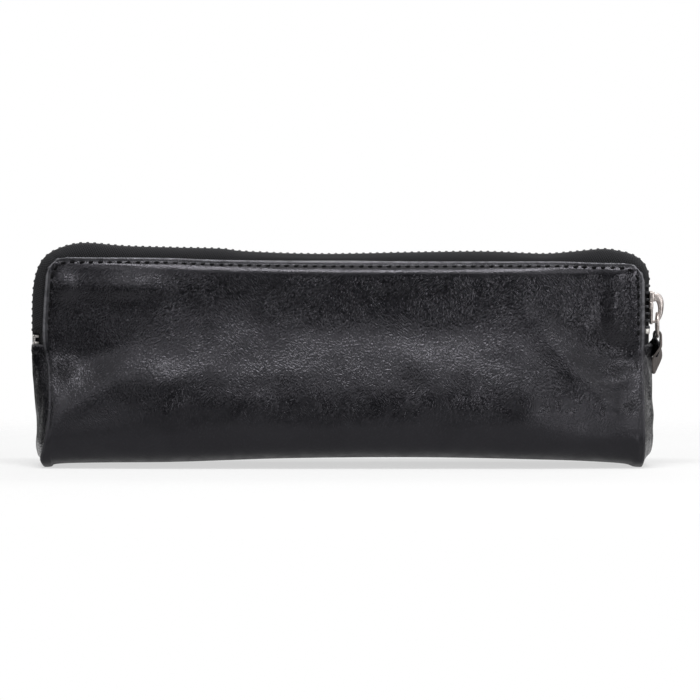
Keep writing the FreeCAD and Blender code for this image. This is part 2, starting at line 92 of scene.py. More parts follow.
# Soft folds of the walls: x, z, half length, half width, tilt in degrees, height outwards
FRONT_FOLDS = [
    (-84, 25, 14, 4.5, 37, 1.2), (-64, 30, 14, 5, 4, 0.8), (-88, 34, 13, 6, 30, -1.4),
    (-94, 32, 6, 2.2, -45, 0.5), (-93, 60.5, 4, 4, 0, 1.9), (-72, 60, 14, 3.6, 0, 1.6),
    (77, 34, 18, 4.6, -50, 2.3), (93, 36, 11, 6.5, -40, -1.6), (92, 20, 8, 3, -12, 0.5),
    (93.5, 30, 8, 2.6, 22, 1.0), (91, 56, 11, 3, 90, 1.2), (11, 50, 20, 7, 0, -0.6),
    (-37, 42, 9, 5, 20, 0.5), (-51, 34, 9, 5, 10, 0.5), (-17, 32, 10, 5, 0, 0.5),
    (23, 36, 12, 5, 0, 0.6), (60, 36, 9, 6, -20, 0.5)]
BACK_FOLDS = [
    (84, 26, 14, 4.5, -35, 1.2), (62, 30, 14, 5, -6, 0.8), (88, 34, 13, 6, -30, -1.4),
    (93, 32, 6, 2.2, 45, 0.5), (92, 60, 5, 3.2, 0, 0.8), (-80, 33, 17, 5, 50, 1.4),
    (-92, 36, 11, 6.5, 40, -1.5), (-93, 20, 8, 3, 12, 0.9), (-94, 30, 8, 2.6, -20, 1.0),
    (-91, 56, 10, 3, 90, 0.8), (-20, 49, 20, 7, 0, -0.6), (30, 41, 10, 5, -16, 0.5),
    (-5, 33, 12, 5, 0, 0.6), (-48, 36, 9, 6, 18, 0.5)]

# Small waves of the leather: size across, height and step of the seed
WAVES = [(26, 0.5, 0), (14, 0.5, 9), (8, 0.16, 5)]

# Crushed spots beside the end seams: x, z, half width, half height, lean of the creases as -1 or 1
FRONT_CRUSHES = [(-94, 32.5, 3.6, 4.2, 1), (92.5, 32.5, 6, 3, -1), (96, 20.5, 3.5, 3, -1)]
BACK_CRUSHES = [(94, 32.5, 3.6, 4.2, -1), (-93, 32, 6, 3, 1)]

# Finish of the leather's edges: groove under the stitches, swell below it and rolled rim
GROOVE_INSET = 1.2
GROOVE_WIDTH = 0.6
GROOVE_DEPTH = 0.45
SWELL_WIDTH = 2.9
SWELL_FADE = 10
ROLL_WIDTH = 0.5
ROLL_DEPTH = 0.3
SEAM_WIDTH = 1.1
SEAM_DEPTH = 0.8

# Stitches and zip
STITCH_INSET = 1.6
STITCH_PITCH = 3.1
STITCH_LENGTH = 1.7
STITCH_RADIUS = 0.4
STITCH_FOOT = 43.5
STITCH_SLANT = 7
TOOTH_PITCH = 2.33
FIRST_TOOTH = 4.2
BARE_CHAIN = 6
TAPE = 0.6
TAPE_TUCK = 3.4
TAPE_CREST = 0.8
TAPE_WIDTH = 11.0
TAPE_GAP = 0.35
ROWS_PARTED = 0.8
ROW_DROP = {"front": 0.0, "back": 0.45}

# Heights over which the tapes draw together at each end, and up to which the slider parts the rows of teeth
DRAWN_LEFT = (44.2, 46.5)
DRAWN_RIGHT = (59.5, 64)
PARTED_RIGHT = (64.5, 67)

# Rows and columns of the grids
HIDE_GRID = (140, 340)
WALL_LINING_GRID = (60, 120)
GUSSET_GRID = (70, 64)
TAPE_ROWS = 14
TAPE_COLUMNS = 420


# Curves and fields

def smooth(low, high, value):
    """Smooth step from 0 at low to 1 at high."""
    t = np.clip((np.asarray(value, float) - low) / (high - low), 0, 1)
    return t * t * (3 - 2 * t)


def evenly(line, count):
    """The points of a dense line, spaced evenly by length."""
    steps = np.linalg.norm(np.diff(line, axis=0), axis=1)
    run = np.concatenate([[0], np.cumsum(steps)])
    at = np.linspace(0, run[-1], count)
    return np.column_stack([np.interp(at, run, column) for column in line.T])


def curve(points, count):
    """Even points on a smooth curve through the given ones."""
    points = np.array(points, float)
    padded = np.vstack([2 * points[0] - points[1], points, 2 * points[-1] - points[-2]])
    t = np.linspace(0, 1, 24, endpoint=False)[:, None]
    dense = []
    for a, b, c, d in zip(padded, padded[1:], padded[2:], padded[3:]):
        bend = (2 * a - 5 * b + 4 * c - d) * t ** 2 + (3 * b - a - 3 * c + d) * t ** 3
        dense.append(0.5 * (2 * b + (c - a) * t + bend))
    return evenly(np.vstack(dense + [points[-1:]]), count)


def lookup(points, at):
    """Value of a smooth table at the given places."""
    line = curve(points, 300)
    return np.interp(at, line[:, 0], line[:, 1])


def ripple(x, z, size, seed):
    """Smooth noise over the wall, about -1 to 1."""
    flat = np.column_stack([np.ravel(x) / size, np.ravel(z) / size])
    values = [noise.noise(Vector((a, b, seed))) for a, b in flat]
    return np.reshape(values, np.shape(x))


def folds_height(folds, x, z):
    """Height of the soft folds at each point of a wall."""
    total = np.zeros_like(x)
    for fold_x, fold_z, length, width, tilt, height in folds:
        turn = math.radians(tilt)
        along = (x - fold_x) * math.cos(turn) + (z - fold_z) * math.sin(turn)
        across = (z - fold_z) * math.cos(turn) - (x - fold_x) * math.sin(turn)
        total += height * np.exp(-(along / length) ** 2 - (across / width) ** 2)
    return total


def normals(grid):
    """Unit normals of a grid of points, rows crossed with columns."""
    across = np.gradient(grid, axis=1)
    up = np.gradient(grid, axis=0)
    normal = np.cross(across, up)
    return normal / np.linalg.norm(normal, axis=2, keepdims=True)


# Meshes

def add_piece(name, points, faces, material, smooth_faces=True):
    """A mesh object from points in millimetres."""
    mesh = bpy.data.meshes.new(name)
    mesh.from_pydata((np.asarray(points) * METRES).tolist(), [], faces)
    mesh.validate()
    mesh.polygons.foreach_set("use_smooth", [smooth_faces] * len(mesh.polygons))
    mesh.materials.append(material)
    piece = bpy.data.objects.new(name, mesh)
    bpy.context.scene.collection.objects.link(piece)
    return piece


def paint(piece, name, values):
    """A float attribute, or a vector one, with a value per point."""
    values = np.asarray(values, float)
    kind = "FLOAT" if values.ndim == 1 else "FLOAT_VECTOR"
    field = "value" if values.ndim == 1 else "vector"
    layer = piece.data.attributes.new(name, kind, "POINT")
    layer.data.foreach_set(field, values.ravel())


def border(rows, columns):
    """Grid places of the border, as one loop, with the side that each lies on."""
    loop = [(0, c, "foot") for c in range(columns - 1)]
    loop += [(r, columns - 1, "right") for r in range(rows - 1)]
    loop += [(rows - 1, c, "head") for c in range(columns - 1, 0, -1)]
    loop += [(r, 0, "left") for r in range(rows - 1, 0, -1)]
    return loop


def sheet(outer, thickness, square_sides=()):
    """A closed sheet with half-round borders behind a grid of outer points: points, faces, kinds.

    The kind of a point is 1 on the border and 0 elsewhere.
    """
    rows, columns = outer.shape[:2]
    normal = normals(outer)
    inner = outer - normal * thickness
    loop = border(rows, columns)
    place = np.array([(r, c) for r, c, side in loop])
    inward = np.array([(np.clip(r, 1, rows - 2), np.clip(c, 1, columns - 2)) for r, c, side in loop])
    rim = outer[place[:, 0], place[:, 1]]
    out = rim - outer[inward[:, 0], inward[:, 1]]
    out /= np.linalg.norm(out, axis=1, keepdims=True)
    out *= np.array([side not in square_sides for r, c, side in loop])[:, None]
    face = normal[place[:, 0], place[:, 1]]
    middle = rim - face * thickness / 2
    rings = []
    for angle in (45, 90, 135):
        turn = math.radians(angle)
        rings.append(middle + thickness / 2 * (math.cos(turn) * face + math.sin(turn) * out))
    count = rows * columns
    points = np.vstack([outer.reshape(-1, 3), inner.reshape(-1, 3)] + rings)
    index = np.arange(count).reshape(rows, columns)
    quads = np.stack([index[:-1, :-1], index[:-1, 1:], index[1:, 1:], index[1:, :-1]], axis=-1).reshape(-1, 4)
    faces = quads.tolist() + (quads[:, ::-1] + count).tolist()
    rim_index = index[place[:, 0], place[:, 1]]
    loops = [rim_index]
    loops += [2 * count + ring * len(loop) + np.arange(len(loop)) for ring in range(3)]
    loops += [rim_index + count]
    for near, far in zip(loops, loops[1:]):
        strip = np.stack([near, far, np.roll(far, -1), np.roll(near, -1)], axis=-1)
        faces += strip.tolist()
    kinds = np.concatenate([np.zeros(2 * count), np.ones(3 * len(loop))])
    kinds[rim_index] = 1
    return points, faces, kinds


def template(make, bevel=0.0, segments=2):
    """Points and faces of a small shape that is made with bmesh, in millimetres."""
    mesh = bmesh.new()
    make(mesh)
    if bevel:
        bmesh.ops.bevel(mesh, geom=mesh.edges[:], offset=bevel, segments=segments, affect="EDGES",
                        profile=0.6)
    mesh.verts.ensure_lookup_table()
    points = np.array([v.co[:] for v in mesh.verts])
    faces = [[v.index for v in face.verts] for face in mesh.faces]
    mesh.free()
    return points, faces


def repeated(shape, places):
    """One mesh's points and faces with a shape set at each place: origin and three axes."""
    points, faces = shape
    all_points = []
    all_faces = []
    for number, (origin, axes) in enumerate(places):
        all_points.append(points @ np.asarray(axes) + origin)
        all_faces += [[corner + number * len(points) for corner in face] for face in faces]
    return np.vstack(all_points), all_faces


def joined(shapes):
    """Several shapes of points and faces as one."""
    points = []
    faces = []
    start = 0
    for shape_points, shape_faces in shapes:
        points.append(shape_points)
        faces += [[corner + start for corner in face] for face in shape_faces]
        start += len(shape_points)
    return np.vstack(points), faces


def tube_faces(rings, spokes, closed=False):
    """Faces between rings of points, each with the same spokes, where closed from the last to the first."""
    faces = []
    for ring in range(rings if closed else rings - 1):
        near = ring * spokes
        far = (ring + 1) % rings * spokes
        for spoke in range(spokes):
            after = (spoke + 1) % spokes
            faces.append([near + spoke, near + after, far + after, far + spoke])
    return faces


def cap_faces(rings, spokes):
    """Faces that close the two ends of such rings."""
    last = (rings - 1) * spokes
    return [list(range(spokes - 1, -1, -1)), list(range(last, last + spokes))]


def box_shape(low, high, bevel):
    """A box with rounded edges between two corners."""
    low = np.array(low, float)
    high = np.array(high, float)

    def make(mesh):
        bmesh.ops.create_cube(mesh, size=1)
        for vertex in mesh.verts:
            vertex.co = Vector((low + high) / 2 + np.array(vertex.co) * (high - low))
    return template(make, bevel)


def prism_shape(outline, low, high, bevel):
    """An outline across the case, pushed along it from low to high, with rounded edges."""
    def make(mesh):
        corners = [mesh.verts.new((x, y, z)) for x in (low, high) for y, z in outline]
        for face in tube_faces(2, len(outline)) + cap_faces(2, len(outline)):
            mesh.faces.new([corners[number] for number in face])
        bmesh.ops.recalc_face_normals(mesh, faces=mesh.faces[:])
    return template(make, bevel)


# Materials

class Finish:
    """A Principled material with short calls for its nodes."""

    def __init__(self, name, **settings):
        self.material = bpy.data.materials.new(name)
        self.material.use_nodes = True
        self.tree = self.material.node_tree
        self.shader = self.tree.nodes["Principled BSDF"]
        for socket, value in settings.items():
            self.shader.inputs[socket.replace("_", " ")].default_value = value
        coordinates = self.tree.nodes.new("ShaderNodeTexCoord")
        scaled = self.node("ShaderNodeVectorMath", {"operation": "SCALE"},
                           {"Vector": coordinates.outputs["Object"], "Scale": 1 / METRES})
        self.place = scaled.outputs["Vector"]

    def node(self, kind, settings, inputs):
        """A node with its settings, and its inputs linked or set."""
        made = self.tree.nodes.new(kind)
        for name, value in settings.items():
            setattr(made, name, value)
        for name, value in inputs.items():
            if isinstance(value, bpy.types.NodeSocket):
                self.tree.links.new(value, made.inputs[name])
            else:
                made.inputs[name].default_value = value
        return made

    def noise(self, scale, detail=3.0, place=None):
        """Noise with features of about 1/scale millimetres, 0 to 1."""
        made = self.node("ShaderNodeTexNoise", {}, {"Vector": place or self.place, "Scale": scale,
                                                    "Detail": detail})
        return made.outputs["Fac"]

    def cells(self, scale, place=None):
        """Distance to the nearest crease of a cell pattern."""
        made = self.node("ShaderNodeTexVoronoi", {"feature": "DISTANCE_TO_EDGE"},
                         {"Vector": place or self.place, "Scale": scale})
        return made.outputs["Distance"]

    def warped(self, scale, amount):
        """Places shifted by noise, so that a pattern isn't regular."""
        made = self.node("ShaderNodeTexNoise", {}, {"Vector": self.place, "Scale": scale})
        shift = self.node("ShaderNodeVectorMath", {"operation": "SCALE"},
                          {"Vector": made.outputs["Color"], "Scale": amount})
        moved = self.node("ShaderNodeVectorMath", {"operation": "ADD"},
                          {0: self.place, 1: shift.outputs["Vector"]})
        return moved.outputs["Vector"]

    def ramp(self, value, low, high, to_low, to_high):
        """A value from low to high, brought smoothly to another range."""
        made = self.node("ShaderNodeMapRange", {"interpolation_type": "SMOOTHSTEP"},
                         {"Value": value, "From Min": low, "From Max": high, "To Min": to_low,
                          "To Max": to_high})
        return made.outputs["Result"]

    def math(self, operation, a, b):
        """A sum, product or other result of two values."""
        return self.node("ShaderNodeMath", {"operation": operation}, {0: a, 1: b}).outputs[0]

    def between(self, factor, a, b):
        """A value between two, by a factor from 0 to 1."""
        made = self.node("ShaderNodeMix", {"data_type": "FLOAT"}, {0: factor, 2: a, 3: b})
        return made.outputs[0]

    def hairs(self, place, degrees):
        """Fine strokes of grain, upright at 0 degrees, 0 to 1."""
        turned = self.node("ShaderNodeVectorRotate", {"rotation_type": "Y_AXIS"},
                           {"Vector": place, "Angle": math.radians(degrees)})
        drawn = self.node("ShaderNodeVectorMath", {"operation": "MULTIPLY"},
                          {0: turned.outputs["Vector"], 1: (1.0, 1.0, 0.4)})
        return self.noise(2.6, 0.0, drawn.outputs["Vector"])

    def mix(self, factor, a, b):
        """A colour between two, by a factor from 0 to 1."""
        made = self.node("ShaderNodeMix", {"data_type": "RGBA"}, {0: factor, 6: a, 7: b})
        return made.outputs[2]

    def attribute(self, name, output="Fac"):
        """What was painted on the piece under a name."""
        return self.node("ShaderNodeAttribute", {"attribute_name": name}, {}).outputs[output]

    def colour(self, value):
        """Sets the base colour."""
        self.tree.links.new(value, self.shader.inputs["Base Color"])

    def roughness(self, value):
        """Sets the roughness."""
        self.tree.links.new(value, self.shader.inputs["Roughness"])

    def bump(self, *layers):
        """Bump layers of height and depth in millimetres, each on top of the last."""
        normal = None
        for height, depth in layers:
            inputs = {"Height": height, "Distance": depth * METRES, "Strength": 1.0}
            if normal:
                inputs["Normal"] = normal
            normal = self.node("ShaderNodeBump", {}, inputs).outputs["Normal"]
        self.tree.links.new(normal, self.shader.inputs["Normal"])


def leather_finish(name, dark, light, raw=None):
    """Semi-gloss grained hide, paler at the edges, partly from wear and partly as a painted highlight on the
    lit rim, with painted glints on the grain's ridges.
    """
    finish = Finish(name, Specular_IOR_Level=0.3, Specular_Tint=(0.93, 0.905, 1.0, 1))
    place = finish.warped(0.4, 0.8)
    creases = finish.ramp(finish.cells(0.9, place), 0.0, 0.16, 0.0, 1.0)
    grain = finish.noise(3.2, 1.0)
    leaning = finish.hairs(place, 40)
    backward = finish.hairs(place, -45)
    lean_areas = finish.ramp(finish.noise(0.05), 0.44, 0.56, 0.0, 1.0)
    back_areas = finish.ramp(finish.noise(0.035), 0.46, 0.58, 0.0, 1.0)
    strokes = finish.between(lean_areas, finish.hairs(place, -8), leaning)
    strokes = finish.between(back_areas, strokes, backward)
    lively = finish.math("SUBTRACT", 1.0, finish.attribute("calm"))
    crush = finish.attribute("crush")
    rucks = finish.math("ADD", finish.math("MULTIPLY", finish.math("MAXIMUM", crush, 0.0), leaning),
                        finish.math("MULTIPLY", finish.math("MINIMUM", crush, 0.0), backward))
    patches = finish.noise(0.06, 3.0)
    shade = finish.mix(finish.ramp(patches, 0.35, 0.65, 0.0, 1.0), dark, light)
    # Painted glints: the grain's ridges are painted paler, as if they caught the light
    painted_glints = finish.math("MULTIPLY", finish.ramp(strokes, 0.5, 0.78, 0.0, 1.0), lively)
    shade = finish.mix(painted_glints, shade, (0.017, 0.017, 0.0195, 1))
    # Paler rim: partly burnished wear, partly a painted highlight where the lamps catch the rounded edge
    edge = finish.ramp(finish.attribute("edge"), 0.1, 1.0, 0.0, 0.8)
    edge_wear_and_highlight = finish.math("MULTIPLY", edge, finish.ramp(finish.noise(0.35), 0.3, 0.6, 0.5, 1.0))
    shade = finish.mix(edge_wear_and_highlight, shade, (0.2, 0.2, 0.215, 1))
    if raw:
        nap = finish.noise(1.6, 5.0)
        shadow = tuple(0.72 * c for c in raw[:3]) + (1,)
        suede = finish.mix(finish.ramp(nap, 0.3, 0.7, 0.0, 1.0), raw, shadow)
        shade = finish.mix(finish.attribute("raw"), shade, suede)
    finish.colour(shade)
    gloss = finish.ramp(finish.noise(0.22, 4.0), 0.3, 0.7, 0.15, 0.26)
    gloss = finish.math("ADD", gloss, finish.math("MULTIPLY", finish.attribute("matt"), 0.26))
    if raw:
        gloss = finish.math("ADD", gloss, finish.math("MULTIPLY", finish.attribute("raw"), 0.4))
    finish.roughness(gloss)
    relief = finish.math("MULTIPLY", strokes, lively)
    finish.bump((creases, 0.012), (relief, 0.21), (grain, 0.01), (rucks, 0.8))
    return finish.material


def weave_finish(name, dark, light, pitch, lean):
    """Twill cloth that follows the weave attribute, along and across in millimetres."""
    finish = Finish(name, Roughness=0.85, Specular_IOR_Level=0.2, Sheen_Weight=0.05, Sheen_Roughness=0.5)
    split = finish.node("ShaderNodeSeparateXYZ", {}, {"Vector": finish.attribute("weave", "Vector")})
    along = finish.math("MULTIPLY", split.outputs["X"], 2 * math.pi / pitch)
    across = finish.math("MULTIPLY", split.outputs["Y"], 2 * math.pi / pitch)
    ribs = finish.math("SINE", finish.math("ADD", along, finish.math("MULTIPLY", across, lean)), 0.0)
    picks = finish.math("SINE", finish.math("SUBTRACT", across, finish.math("MULTIPLY", along, lean)), 0.0)
    cloth = finish.math("ADD", ribs, finish.math("MULTIPLY", picks, 0.6))
    fuzz = finish.noise(5.0, 3.0)
    finish.colour(finish.mix(finish.ramp(finish.math("ADD", cloth, fuzz), -1.2, 1.8, 0.0, 1.0), dark, light))
    finish.bump((cloth, 0.04), (fuzz, 0.03))
    return finish.material


def metal_finish(name, bright, dull, low, high, pits):
    """Plated metal with faint rub marks and dulled patches."""
    finish = Finish(name, Metallic=1.0)
    rubs = finish.noise(0.9, 5.0)
    finish.colour(finish.mix(finish.ramp(rubs, 0.35, 0.7, 0.0, 1.0), bright, dull))
    finish.roughness(finish.ramp(finish.noise(2.2, 5.0), 0.3, 0.7, low, high))
    finish.bump((finish.noise(3.5, 4.0), pits))
    return finish.material


def thread_finish(name):
    """Waxed thread with a twist."""
    finish = Finish(name, Roughness=0.85, Specular_IOR_Level=0.15)
    split = finish.node("ShaderNodeSeparateXYZ", {}, {"Vector": finish.attribute("twist", "Vector")})
    turn = finish.math("ADD", finish.math("MULTIPLY", split.outputs["X"], 9.0), split.outputs["Y"])
    ply = finish.math("SINE", finish.math("MULTIPLY", turn, 2.0), 0.0)
    finish.colour(finish.mix(finish.ramp(ply, -1.0, 1.0, 0.0, 1.0), (0.001, 0.001, 0.0013, 1),
                             (0.005, 0.005, 0.006, 1)))
    finish.bump((ply, 0.05))
    return finish.material


hide = leather_finish("hide_leather_look", (0.003, 0.003, 0.0038, 1), (0.0062, 0.0062, 0.0074, 1))
tab_hide = leather_finish("tab_leather_look", (0.005, 0.005, 0.0055, 1), (0.01, 0.01, 0.0105, 1),
                          raw=(0.15, 0.132, 0.122, 1))
tape_cloth = weave_finish("zip_tape_look", (0.003, 0.003, 0.0035, 1), (0.026, 0.026, 0.029, 1), 0.75, 0.55)
lining_cloth = weave_finish("lining_cotton_look", (0.02, 0.02, 0.023, 1), (0.06, 0.06, 0.066, 1), 0.8, 0.0)
blackened = metal_finish("zip_teeth_look", (0.07, 0.07, 0.074, 1), (0.03, 0.03, 0.032, 1), 0.3, 0.5, 0.008)
nickel = metal_finish("slider_metal_look", (0.52, 0.475, 0.455, 1), (0.42, 0.375, 0.355, 1), 0.3, 0.42, 0.002)
stop_metal = metal_finish("zip_stops_look", (0.62, 0.6, 0.58, 1), (0.5, 0.48, 0.46, 1), 0.26, 0.4, 0.002)
thread = thread_finish("sewing_thread_look")


# The hide: front and back walls, each with its half of the base

def spread(count, border):
    """Shares from 0 to 1, closer together over the border at the far end."""
    near = int(count * 0.75)
    return np.concatenate([np.linspace(0, 1 - border, near, endpoint=False),
                           np.linspace(1 - border, 1, count - near)])


def hide_grid(side, folds, seed, rows, columns):
    """Outer points of one half of the hide, side -1 at the front, and each point's distance from an edge."""
    dense = 2000
    up = (spread(rows, 0.09) * (dense - 1)).astype(int)
    mid = curve(MID_SECTION, dense)[up]
    end = curve(END_SECTION, dense)[up]
    half = spread(columns // 2, 0.06)
    place = np.concatenate([0.5 - 0.5 * half[::-1], 0.5 + 0.5 * half[1:]])[None, :]
    guess = (mid[:, 1] + end[:, 1])[:, None] / 2
    above = np.clip(guess - EDGE_HEIGHT + CORNER_RADIUS, 0, CORNER_RADIUS)
    inset = CORNER_RADIUS - np.sqrt(CORNER_RADIUS ** 2 - above ** 2)
    left = lookup(LEFT_EDGE, guess) + inset
    right = lookup(RIGHT_EDGE, guess) - inset
    x = left + (right - left) * place
    pinch = smooth(PINCH_FROM, PINCH_TO, np.abs(x))
    depth = mid[:, :1] * (1 - pinch) + end[:, :1] * pinch
    z = mid[:, 1:] * (1 - pinch) + end[:, 1:] * pinch
    from_end = np.minimum(x - left, right - x) + inset
    from_top = EDGE_HEIGHT - z
    upper = smooth(41, 46, z)
    from_edge = np.where(upper > 0.5, np.minimum(from_end, from_top), from_end)
    wall = smooth(4, 14, z) * smooth(0, 3, from_edge)
    beside = smooth(-1, 1, from_top - from_end)
    groove = (1 - 0.7 * beside) * np.exp(-((from_edge - GROOVE_INSET) / GROOVE_WIDTH) ** 2)
    below = np.clip(from_edge - GROOVE_INSET, 0, None)
    rise = 1 - np.clip(1 - below / SWELL_WIDTH, 0, 1) ** 1.35
    swell = lookup(TOP_PUFF, x) * rise * np.exp(-(below / SWELL_FADE) ** 2)
    waves = folds_height(folds, x, z)
    for size, height, step in WAVES:
        waves = waves + height * ripple(x, z, size, seed + step)
    depth = depth + wall * waves
    roll = np.exp(-(from_edge / ROLL_WIDTH) ** 2)
    depth = depth + upper * (swell - GROOVE_DEPTH * groove - ROLL_DEPTH * roll)
    seam = SEAM_DEPTH * np.exp(-(from_end / SEAM_WIDTH) ** 2)
    depth = depth - (1 - upper) * smooth(1, 6, z) * seam
    z = z + (lookup(TOP_LINE, x) - EDGE_HEIGHT) * smooth(35, EDGE_HEIGHT, z)
    z = z + lookup(BASE_LINE, x) * (1 - smooth(0, 26, z))
    return np.stack([x, side * depth, z], axis=-1), from_edge


def flipped(grid, side):
    """The grid with its columns in the order that makes its normals point out of the case."""
    return grid if side < 0 else grid[:, ::-1]


def crushed(spots, points):
    """How crushed the leather is at each point, below 0 where the creases lean the other way."""
    total = np.zeros(len(points))
    for x, z, wide, high, lean in spots:
        total += lean * np.exp(-((points[:, 0] - x) / wide) ** 2 - ((points[:, 2] - z) / high) ** 2)
    return total


def fold_with_wall(piece):
    """Bakes the piece's transform into its mesh."""
    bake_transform(piece)


SIDES = ((-1, "front", FRONT_FOLDS, 3.1), (1, "back", BACK_FOLDS, 11.7))
CRUSHES = {"front": FRONT_CRUSHES, "back": BACK_CRUSHES}
hides = {}
for side, word, folds, seed in SIDES:
    grid, from_edge = hide_grid(side, folds, seed, *HIDE_GRID)
    hides[word] = grid
    outer = flipped(grid, side)
    points, faces, kinds = sheet(outer, LEATHER, square_sides=("foot",))
    leather = add_piece("leather_" + word, points, faces, hide)
    height = points[:, 2]
    inward = flipped(from_edge, side).ravel()
    face = slice(0, inward.size)
    # Rim mask: burnished wear plus a painted highlight on the rolled rim and the strip above the stitches,
    # stronger on the upper edges where the light falls from above
    edge_wear_and_highlight = np.zeros(len(points))
    edge_wear_and_highlight[face] = np.maximum(np.exp(-(inward / 0.45) ** 2), 0.4 - 0.4 * smooth(1.1, 1.8, inward))
    paint(leather, "edge", np.maximum(edge_wear_and_highlight, kinds) * (0.3 + 0.7 * smooth(38, 44, height)))
    paint(leather, "crush", crushed(CRUSHES[word], points))
    # Calm grain: less relief and fewer painted glints low on the wall and in the band under the top stitches
    calm = 0.85 - 0.85 * smooth(2, 36, height)
    calm[face] += 0.7 * smooth(1.2, 2, inward) * smooth(6.5, 4, inward) * smooth(62, 64, height[face])
    paint(leather, "calm", calm)
    paint(leather, "matt", 1 - smooth(4, 30, height))
    fold_with_wall(leather)
    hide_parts("hide_" + word, "hide_base")

    inside = flipped(hide_grid(side, folds, seed, *WALL_LINING_GRID)[0], side)
    inside = inside - normals(inside) * LINING_OFFSET
    inside = inside[:-2, 2:-2]
    points, faces, kinds = sheet(inside, LINING, square_sides=("foot",))
    lining = add_piece("lining_cloth_" + word, points, faces, lining_cloth)
    paint(lining, "weave", points[:, [0, 2, 1]])
    fold_with_wall(lining)
    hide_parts("lining_" + word, "lining_base")


def wall_depth(word, x, z):
    """Depth of the hide's outer face at a place on its upper wall."""
    grid = hides[word]
    column = np.argmin(np.abs(grid[-30, :, 0] - x))
    line = grid[:, column]
    return np.interp(z, line[:, 2], line[:, 1])


# Gussets, bowed out between the ends of the hide

def gusset_grid(column, reach, sign, seed, rows, columns):
    """Outer points of an end gusset between the hide's two end lines."""
    z = np.linspace(0.7, GUSSET_TOP, rows)[:, None]
    seams = {}
    for word in ("front", "back"):
        line = hides[word][:, column]
        seams[word] = np.interp(z, line[:, 2], line[:, 1])
        seam_x = np.interp(z, line[:, 2], line[:, 0])
    across = np.linspace(-1, 1, columns)[None, :]
    inset = 0.75
    y = (seams["back"] - inset) * (1 + across) / 2 + (seams["front"] + inset) * (1 - across) / 2
    bow = 1 - np.abs(across) ** 2.6
    x = seam_x + (lookup(reach, z) - seam_x) * bow
    half = (seams["back"] - seams["front"]) / 2
    from_seam = (1 - np.abs(across)) * half
    pleats = 0.55 * ripple(y * 2.4, z * 0.55 + 0 * y, 9, seed) + 0.25 * ripple(y, z + 0 * y, 5, seed + 3)
    x = x + sign * pleats * smooth(0.5, 5, from_seam) * smooth(0, 6, z) * smooth(0, 4, GUSSET_TOP - z)
    hem = smooth(2.6, 2.0, GUSSET_TOP - z)
    x = x + sign * 0.4 * hem * smooth(0, 2, from_seam)
    return np.stack([x, y, z + 0 * y], axis=-1)


ENDS = (("left", 0, LEFT_GUSSET, -1, 21.3), ("right", -1, RIGHT_GUSSET, 1, 33.9))
for word, column, reach, sign, seed in ENDS:
    grid = gusset_grid(column, reach, sign, seed, *GUSSET_GRID)
    outer = flipped(grid, -sign)
    points, faces, kinds = sheet(outer, LEATHER)
    gusset = add_piece("leather_gusset_" + word, points, faces, hide)
    face = slice(0, outer.shape[0] * outer.shape[1])
    # Painted highlight and wear on the gusset's hem rim only
    edge_wear_and_highlight = kinds.copy()
    edge_wear_and_highlight[face] *= points[face, 2] > GUSSET_TOP - 0.2
    paint(gusset, "edge", 0.35 * edge_wear_and_highlight)
    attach(gusset, "pouch")
    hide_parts("gusset_" + word)

    inside = outer - normals(outer) * LINING_OFFSET
    points, faces, kinds = sheet(inside[2:-1:2, 2:-2:2], LINING)
    lining = add_piece("lining_cloth_" + word, points, faces, lining_cloth)
    paint(lining, "weave", points[:, [1, 2, 0]])
    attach(lining, "pouch")
    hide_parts("lining_" + word)


# The zip: tapes and teeth

def edge_line(word):
    """Top and end edges of a wall as one line from the left fold to the right one."""
    grid = hides[word]
    rows = np.where(grid[:, 0, 2] > GUSSET_TOP + 0.4)[0]
    left = grid[rows, 0]
    right = grid[rows, -1]
    return evenly(np.vstack([left[:-1], grid[-1], right[::-1][1:]]), 900)


chain = curve(CHAIN_LINE, 1200)
chain_length = np.linalg.norm(np.diff(chain, axis=0), axis=1).sum()


def tape_grid(word, side):
    """Outer points of a zip tape from its tuck behind the leather edge up to the teeth."""
    edge = edge_line(word)
    teeth = evenly(chain, TAPE_COLUMNS)
    tangent = np.gradient(teeth, axis=0)
    tangent /= np.linalg.norm(tangent, axis=1, keepdims=True)
    inward = np.column_stack([tangent[:, 1], -tangent[:, 0]])
    rows = []
    for tooth, turned in zip(teeth, inward):
        near = edge[np.argmin(np.linalg.norm(edge[:, [0, 2]] - tooth, axis=1))]
        root = near[[0, 2]]
        face = abs(near[1]) - LEATHER - TAPE_GAP
        way = tooth - root
        tooth = tooth + turned * ROW_DROP[word]
        crest = tooth - turned * TAPE_CREST
        drawn = 1 - smooth(*(DRAWN_LEFT if tooth[0] < 0 else DRAWN_RIGHT), tooth[1])
        shoulder = (face - 1.3) * (1 - drawn) + 2.7 * drawn
        crown = 4.0 * (1 - drawn) + 2.5 * drawn
        section = [np.append(root + turned * TAPE_TUCK, face), np.append(root, face),
                   np.append(root + way * 0.55, face - 0.25 - 3.0 * drawn), np.append(tooth, shoulder),
                   np.append(crest, crown), np.append(crest, 2.2), np.append(tooth, 0.9)]
        rows.append(curve(section, TAPE_ROWS))
    grid = np.array(rows).transpose(1, 0, 2)
    return np.stack([grid[..., 0], side * grid[..., 2], grid[..., 1]], axis=-1)


def chain_frames(shift):
    """Places of the teeth along the zip: origin in x and z, run direction and outward direction."""
    count = int((chain_length - BARE_CHAIN) / TOOTH_PITCH)
    run = np.linspace(0, chain_length, len(chain))
    frames = []
    for number in range(count):
        at = FIRST_TOOTH + (number + shift) * TOOTH_PITCH
        spots = np.array([at, at + 0.5])
        origin, ahead = np.stack([np.interp(spots, run, column) for column in chain.T], axis=1)
        along = (ahead - origin) / np.linalg.norm(ahead - origin)
        frames.append((origin, along, np.array([-along[1], along[0]])))
    return frames


